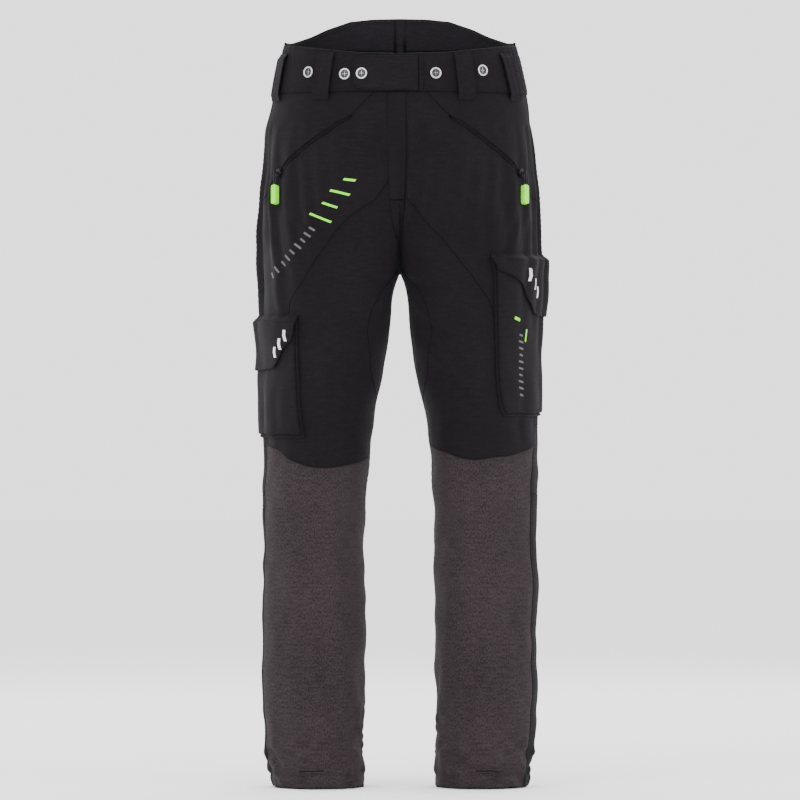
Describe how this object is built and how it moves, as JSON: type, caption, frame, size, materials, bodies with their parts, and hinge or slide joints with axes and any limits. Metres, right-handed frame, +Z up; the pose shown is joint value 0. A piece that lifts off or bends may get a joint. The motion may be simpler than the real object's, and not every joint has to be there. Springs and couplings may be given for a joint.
{
  "type": "chainsaw protective trousers",
  "caption": "Protective work trousers with padded legs, raised back, belt loops, zipped hand pockets and flapped thigh pockets.",
  "frame": {"origin": "centre of the waist opening at the height of the belt line", "axes": "+Z up out of the waist, -Y the way the wearer faces, +X the wearer's left"},
  "size_m": [0.4162, 0.2808, 1.119],
  "materials": {
    "black_cloth": "fine plain weave",
    "grey_cloth": "heather melange stretch weave",
    "pad": "knitted cut-protective layers",
    "lining": "mesh lining",
    "tape": "woven tape",
    "coil": "moulded coil",
    "snap": "polished nickel",
    "slider": "dark painted die-casting",
    "grip": "soft moulded",
    "cord": "braided cord",
    "reflector": "retroreflective film",
    "hook_tape": "hook and loop tape"
  },
  "bodies": {
    "trousers": {"hip_panel_left": "black_cloth", "upper_front_panel_left": "black_cloth", "thigh_front_panel_left": "black_cloth", "inner_thigh_panel_left": "black_cloth", "seat_panel_left": "black_cloth", "thigh_back_panel_left": "black_cloth", "knee_stretch_panel_left": "black_cloth", "thigh_pad_left": "pad", "cargo_pouch_left": "black_cloth", "hip_panel_right": "black_cloth", "upper_front_panel_right": "black_cloth", "thigh_front_panel_right": "black_cloth", "inner_thigh_panel_right": "black_cloth", "seat_panel_right": "black_cloth", "thigh_back_panel_right": "black_cloth", "knee_stretch_panel_right": "black_cloth", "thigh_pad_right": "pad", "cargo_pouch_right": "black_cloth", "lining_upper": "lining", "pocket_bags": "lining", "waistband_right": "black_cloth", "waistband_left": "black_cloth", "waistband_back": "black_cloth", "kidney_panel": "black_cloth", "kidney_facing": "lining", "back_tape": "tape", "waistband_snaps": "snap", "belt_loops": "tape", "fly_shield": "black_cloth", "fly_tape": "tape", "fly_teeth": "coil", "pouch_loop_tapes": "hook_tape", "hand_zip_tapes": "tape", "hand_zip_coils": "coil"},
    "lower_leg_left": {"shin_front_panel_left": "grey_cloth", "calf_back_panel_left": "black_cloth", "shin_pad_left": "pad", "lining_lower_left": "lining"},
    "zip_slider_left": {"hand_zip_slider_left": "slider"},
    "zip_pull_left": {"hand_zip_cord_left": "cord", "hand_zip_grip_left": "grip"},
    "flap_left": {"cargo_flap_left": "black_cloth", "flap_reflector_left": "reflector", "flap_hook_tape_left": "hook_tape"},
    "lower_leg_right": {"shin_front_panel_right": "grey_cloth", "calf_back_panel_right": "black_cloth", "shin_pad_right": "pad", "lining_lower_right": "lining"},
    "zip_slider_right": {"hand_zip_slider_right": "slider"},
    "zip_pull_right": {"hand_zip_cord_right": "cord", "hand_zip_grip_right": "grip"},
    "flap_right": {"cargo_flap_right": "black_cloth", "flap_reflector_right": "reflector", "flap_hook_tape_right": "hook_tape"},
    "tab": {"waist_tab": "black_cloth", "tab_snap": "snap"},
    "placket": {"fly_placket": "black_cloth"},
    "fly_runner": {"fly_slider": "slider", "fly_pull": "slider"}
  },
  "joints": [
    {"name": "knee_left", "type": "hinge", "parent": "trousers", "child": "lower_leg_left", "pos_m": [0.116, -0.038, -0.56], "axis": [1, 0, 0], "range_deg": [0, 45], "deforming": ["knee_stretch_panel_left"]},
    {"name": "hand_zip_left", "type": "hinge", "parent": "trousers", "child": "zip_slider_left", "pos_m": [-0.12387, 0.19687, -0.2524], "axis": [-0.2695, -0.6214, -0.7357], "range_deg": [0, 18.2]},
    {"name": "zip_pull_swing_left", "type": "hinge", "parent": "zip_slider_left", "child": "zip_pull_left", "pos_m": [0.17979, -0.06771, -0.14299], "axis": [-0.7699, -0.6381, 0], "range_deg": [0, 100]},
    {"name": "cargo_flap_left", "type": "hinge", "parent": "trousers", "child": "flap_left", "pos_m": [0.21187, 0.00832, -0.2685], "axis": [0, -1, 0], "range_deg": [0, 80]},
    {"name": "knee_right", "type": "hinge", "parent": "trousers", "child": "lower_leg_right", "pos_m": [-0.116, -0.038, -0.56], "axis": [1, 0, 0], "range_deg": [0, 45], "deforming": ["knee_stretch_panel_right"]},
    {"name": "hand_zip_right", "type": "hinge", "parent": "trousers", "child": "zip_slider_right", "pos_m": [0.12387, 0.19687, -0.2524], "axis": [-0.2695, 0.6214, 0.7357], "range_deg": [0, 18.2]},
    {"name": "zip_pull_swing_right", "type": "hinge", "parent": "zip_slider_right", "child": "zip_pull_right", "pos_m": [-0.17979, -0.06771, -0.14299], "axis": [-0.7699, 0.6381, 0], "range_deg": [0, 100]},
    {"name": "cargo_flap_right", "type": "hinge", "parent": "trousers", "child": "flap_right", "pos_m": [-0.20515, 0.00671, -0.3565], "axis": [0, 1, 0], "range_deg": [0, 80]},
    {"name": "waist_tab", "type": "hinge", "parent": "trousers", "child": "tab", "pos_m": [0.026, -0.1262, -0.002], "axis": [0, 0, 1], "range_deg": [0, 120]},
    {"name": "fly_placket", "type": "hinge", "parent": "trousers", "child": "placket", "pos_m": [0.009, -0.1298, -0.11], "axis": [0, 0, 1], "range_deg": [0, 100]},
    {"name": "fly_zip", "type": "slide", "parent": "trousers", "child": "fly_runner", "axis": [0, 0, -1], "range_m": [0, 0.1]}
  ]
}
